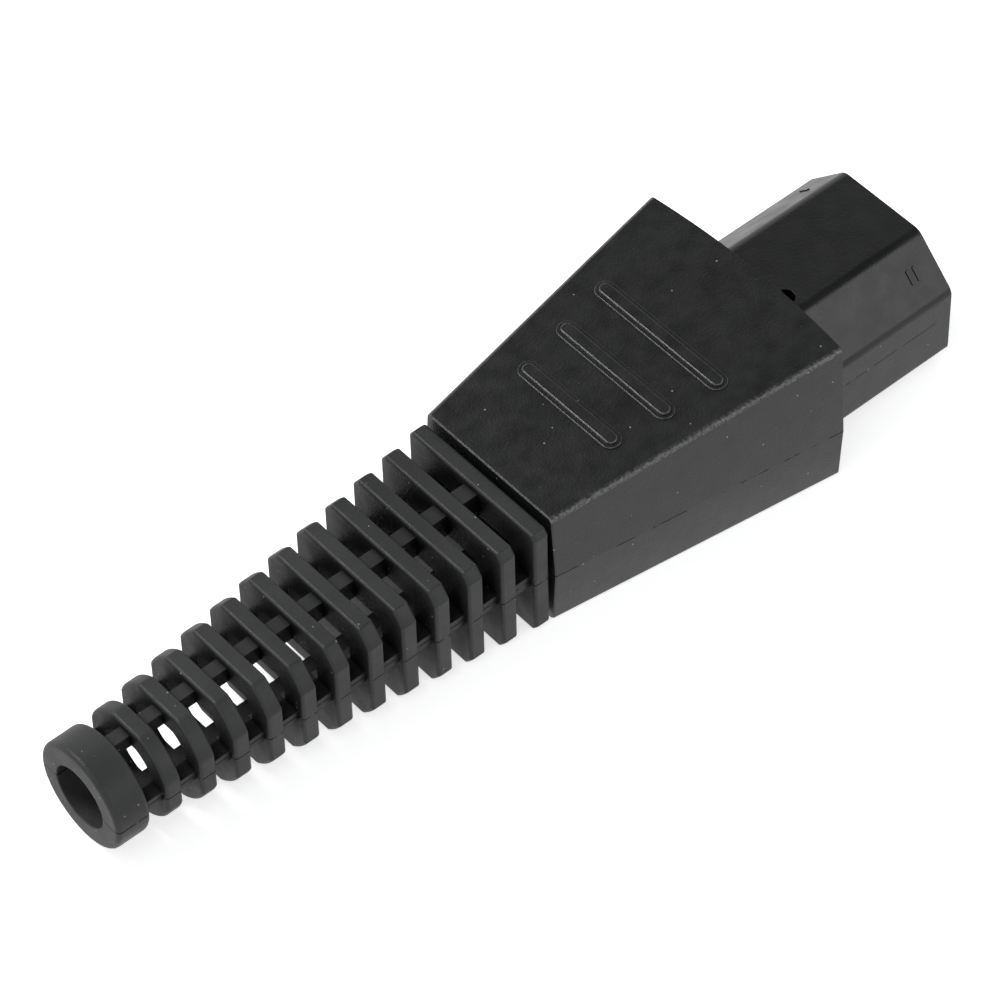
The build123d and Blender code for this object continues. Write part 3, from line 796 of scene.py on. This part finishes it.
# %% The web tree
def build_web_tree():
    """Small blocks in the gaps between rings, four to a gap, below the rings' outer surface."""
    inputs = [("Gaps", "NodeSocketInt")] + [(title, "NodeSocketFloat") for title in (
        "First Front", "Pitch", "Length", "First Width", "Last Width", "Side Share", "Recess",
        "First Wall", "Last Wall", "First Half Width", "First Half Height", "Last Half")]
    tree, group_in, group_out, n = new_tree("boot_webs", inputs)
    line = node_with(tree, "GeometryNodeMeshLine", values={"Offset": (0, 0, 0)},
                     links={"Count": (n["Gaps"] * 4.0).socket})
    index = Number(tree, node_with(tree, "GeometryNodeInputIndex").outputs[0])
    gap = (index / 4.0 + 0.01).use("FLOOR")
    angle = (index - gap * 4.0) * quarter_turn
    share = ((gap + 0.5) / (n["Gaps"] - 1.0)).use("MINIMUM", 1.0)
    half_y = n["First Half Width"] + (n["Last Half"] - n["First Half Width"]) * share
    half_z = n["First Half Height"] + (n["Last Half"] - n["First Half Height"]) * share
    wall = n["First Wall"] + (n["Last Wall"] - n["First Wall"]) * share
    middle = (wall + n["Recess"]) / 2.0
    y = angle.use("COSINE") * (half_y - middle)
    z = angle.use("SINE") * (half_z - middle)
    width = n["First Width"] + (n["Last Width"] - n["First Width"]) * share
    at_side = angle.use("COSINE").use("ABSOLUTE").use("ROUND")
    width = width * (at_side * (n["Side Share"] - 1.0) + 1.0)
    x = n["First Front"] - gap * n["Pitch"]
    place = node_with(tree, "ShaderNodeCombineXYZ", links={"X": x.socket, "Y": y.socket, "Z": z.socket})
    spread = node_with(tree, "GeometryNodeSetPosition",
                       links={"Geometry": line.outputs[0], "Position": place.outputs[0]})
    size = node_with(tree, "ShaderNodeCombineXYZ", links={
        "X": n["Length"].socket, "Y": (wall - n["Recess"]).socket, "Z": width.socket})
    block = node_with(tree, "GeometryNodeMeshCube", values={
        "Size": (1.0, 1.0, 1.0), "Vertices X": 2, "Vertices Y": 2, "Vertices Z": 2})
    turn = node_with(tree, "ShaderNodeCombineXYZ", links={"X": angle.socket})
    webs = node_with(tree, "GeometryNodeInstanceOnPoints",
                     links={"Points": spread.outputs[0], "Instance": block.outputs["Mesh"],
                            "Rotation": turn.outputs[0], "Scale": size.outputs[0]})
    realize = node_with(tree, "GeometryNodeRealizeInstances", links={"Geometry": webs.outputs[0]})
    dressed = node_with(tree, "GeometryNodeSetMaterial",
                        links={"Geometry": realize.outputs[0], "Material": group_in.outputs["Material"]})
    tree.links.new(dressed.outputs[0], group_out.inputs["Geometry"])
    return tree


web_tree = build_web_tree()
print("web tree:", len(web_tree.nodes), "nodes")

# %% [markdown]
# The sizes of the boot are the ones that the part was drawn with. Its first ring starts half a
# millimetre behind the hood, and the rest follows from the pitch, so the last gap and the collar end
# at the far end of the CAD boot.

# %% Draw the boot
ring_count = 12
ring_pitch = 4.44 * mm
ring_thick = 2.15 * mm
ring_half_width = 10.7 * mm
ring_half_height = 8.2 * mm
ring_last_half = 6.6 * mm
ring_rounds = (13.0 * mm, 6.9 * mm)
boot_walls = (4.4 * mm, 2.6 * mm)
boot_gap = 0.5 * mm
ring_edge = 0.42 * mm
web_widths = (2.2 * mm, 1.7 * mm)
side_web_share = 0.8
web_recess = 0.8 * mm
collar_r = 6.8 * mm
collar_bore_r = 4.0 * mm
collar_length = 4.5 * mm
collar_edge = 0.6 * mm
neck_half = (7.4 * mm, 5.0 * mm)
neck_wall = 1.6 * mm
lip_half = (8.6 * mm, 6.2 * mm)
lip_thick = 1.4 * mm
rear_wall = 2.1 * mm
plate_inset = 0.5 * mm
neck_overlap = 0.5 * mm
fine_edge = 0.1 * mm
lip_edge = 0.2 * mm
hood_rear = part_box("hood")[0].x
boot_front = hood_rear - boot_gap
collar_front = boot_front - ring_thick - ring_pitch * (ring_count - 1) - (ring_pitch - ring_thick)


def corner_reach(half_sizes, cut=0.6 * mm):
    """The round limit that takes a little off the corners of a rectangle."""
    return math.hypot(*half_sizes) - cut


def ring_mesh(name, front, thickness, half_sizes, limit, wall, edge, bore_edge=0.15 * mm, **others):
    """A row of rings, or one ring, from the ring tree."""
    values = {
        "Rings": 1, "First Front": front, "Pitch": 0.0, "Thickness": thickness,
        "First Half Width": half_sizes[0], "First Half Height": half_sizes[1], "Last Half": half_sizes[0],
        "First Round": limit, "Last Round": limit, "First Wall": wall, "Last Wall": wall,
        "Edge Radius": edge, "Bore Edge Radius": bore_edge, "Material": boot_rubber}
    values.update({title.replace("_", " "): value for title, value in others.items()})
    return run_tree(ring_tree, name, values)


first_half = (ring_half_width, ring_half_height)
plate_half = (ring_half_width - plate_inset, ring_half_height - plate_inset)
boot_meshes = [
    ring_mesh("rings", boot_front, ring_thick, first_half, ring_rounds[0], boot_walls[0], ring_edge,
              Rings=ring_count, Pitch=ring_pitch, Last_Half=ring_last_half, Last_Round=ring_rounds[1],
              Last_Wall=boot_walls[1]),
    ring_mesh("collar", collar_front, collar_length, (collar_r, collar_r), collar_r,
              collar_r - collar_bore_r, collar_edge),
    ring_mesh("end_plate", boot_front, ring_thick / 2, plate_half, corner_reach(plate_half),
              plate_half[0] - neck_half[0] + neck_wall, fine_edge),
    ring_mesh("neck", hood_rear + rear_wall + lip_thick / 2,
              boot_gap + rear_wall + lip_thick / 2 + neck_overlap,
              neck_half, corner_reach(neck_half), neck_wall, fine_edge),
    ring_mesh("lip", hood_rear + rear_wall + lip_thick, lip_thick, lip_half, corner_reach(lip_half),
              lip_half[0] - neck_half[0] + neck_wall, lip_edge),
    run_tree(web_tree, "webs", {
        "Gaps": ring_count, "Pitch": ring_pitch, "First Front": boot_front - (ring_pitch + ring_thick) / 2,
        "Length": ring_pitch - ring_thick + 2 * ring_edge, "First Width": web_widths[0],
        "Last Width": web_widths[1], "Side Share": side_web_share, "Recess": web_recess,
        "First Wall": boot_walls[0], "Last Wall": boot_walls[1], "First Half Width": ring_half_width,
        "First Half Height": ring_half_height, "Last Half": ring_last_half, "Material": boot_rubber}),
]


def join_meshes(name, meshes):
    """One object from several meshes, with normals that point outwards."""
    work = bmesh.new()
    for mesh in meshes:
        work.from_mesh(mesh)
    bmesh.ops.recalc_face_normals(work, faces=work.faces)
    joined = bpy.data.meshes.new(name)
    work.to_mesh(joined)
    work.free()
    joined.materials.append(boot_rubber)
    piece = bpy.data.objects.new(name, joined)
    bpy.context.collection.objects.link(piece)
    return piece


boot = join_meshes("boot_moulding", boot_meshes)
weighted = boot.modifiers.new("flat faces", "WEIGHTED_NORMAL")
weighted.keep_sharp = True
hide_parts("boot")
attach(boot, body_of_node["boot"])
print("boot:", len(boot.data.polygons), "faces, rear end at", round((collar_front - collar_length) / mm, 2))

# %% [markdown]
# ## Inner pieces
# Contacts, terminals, screws and clamp only show when the hood is slid back. Their CAD shapes are
# right, so they get the same softened edges as the mouldings, a little finer, and the metal finishes.

# %% Dress the inner pieces
inner_edge = {"contact": 0.06 * mm, "terminal": 0.10 * mm, "plate": 0.06 * mm, "screw": 0.07 * mm,
              "clamp": 0.12 * mm, "cover": 0.07 * mm}
for node in sorted(frame["nodes"]):
    kind = node.split("_")[0]
    if kind in inner_edge:
        soft_edged(node, inner_edge[kind])
for node in ("hood_screw_left", "hood_screw_right"):
    soft_edged(node, inner_edge["screw"])
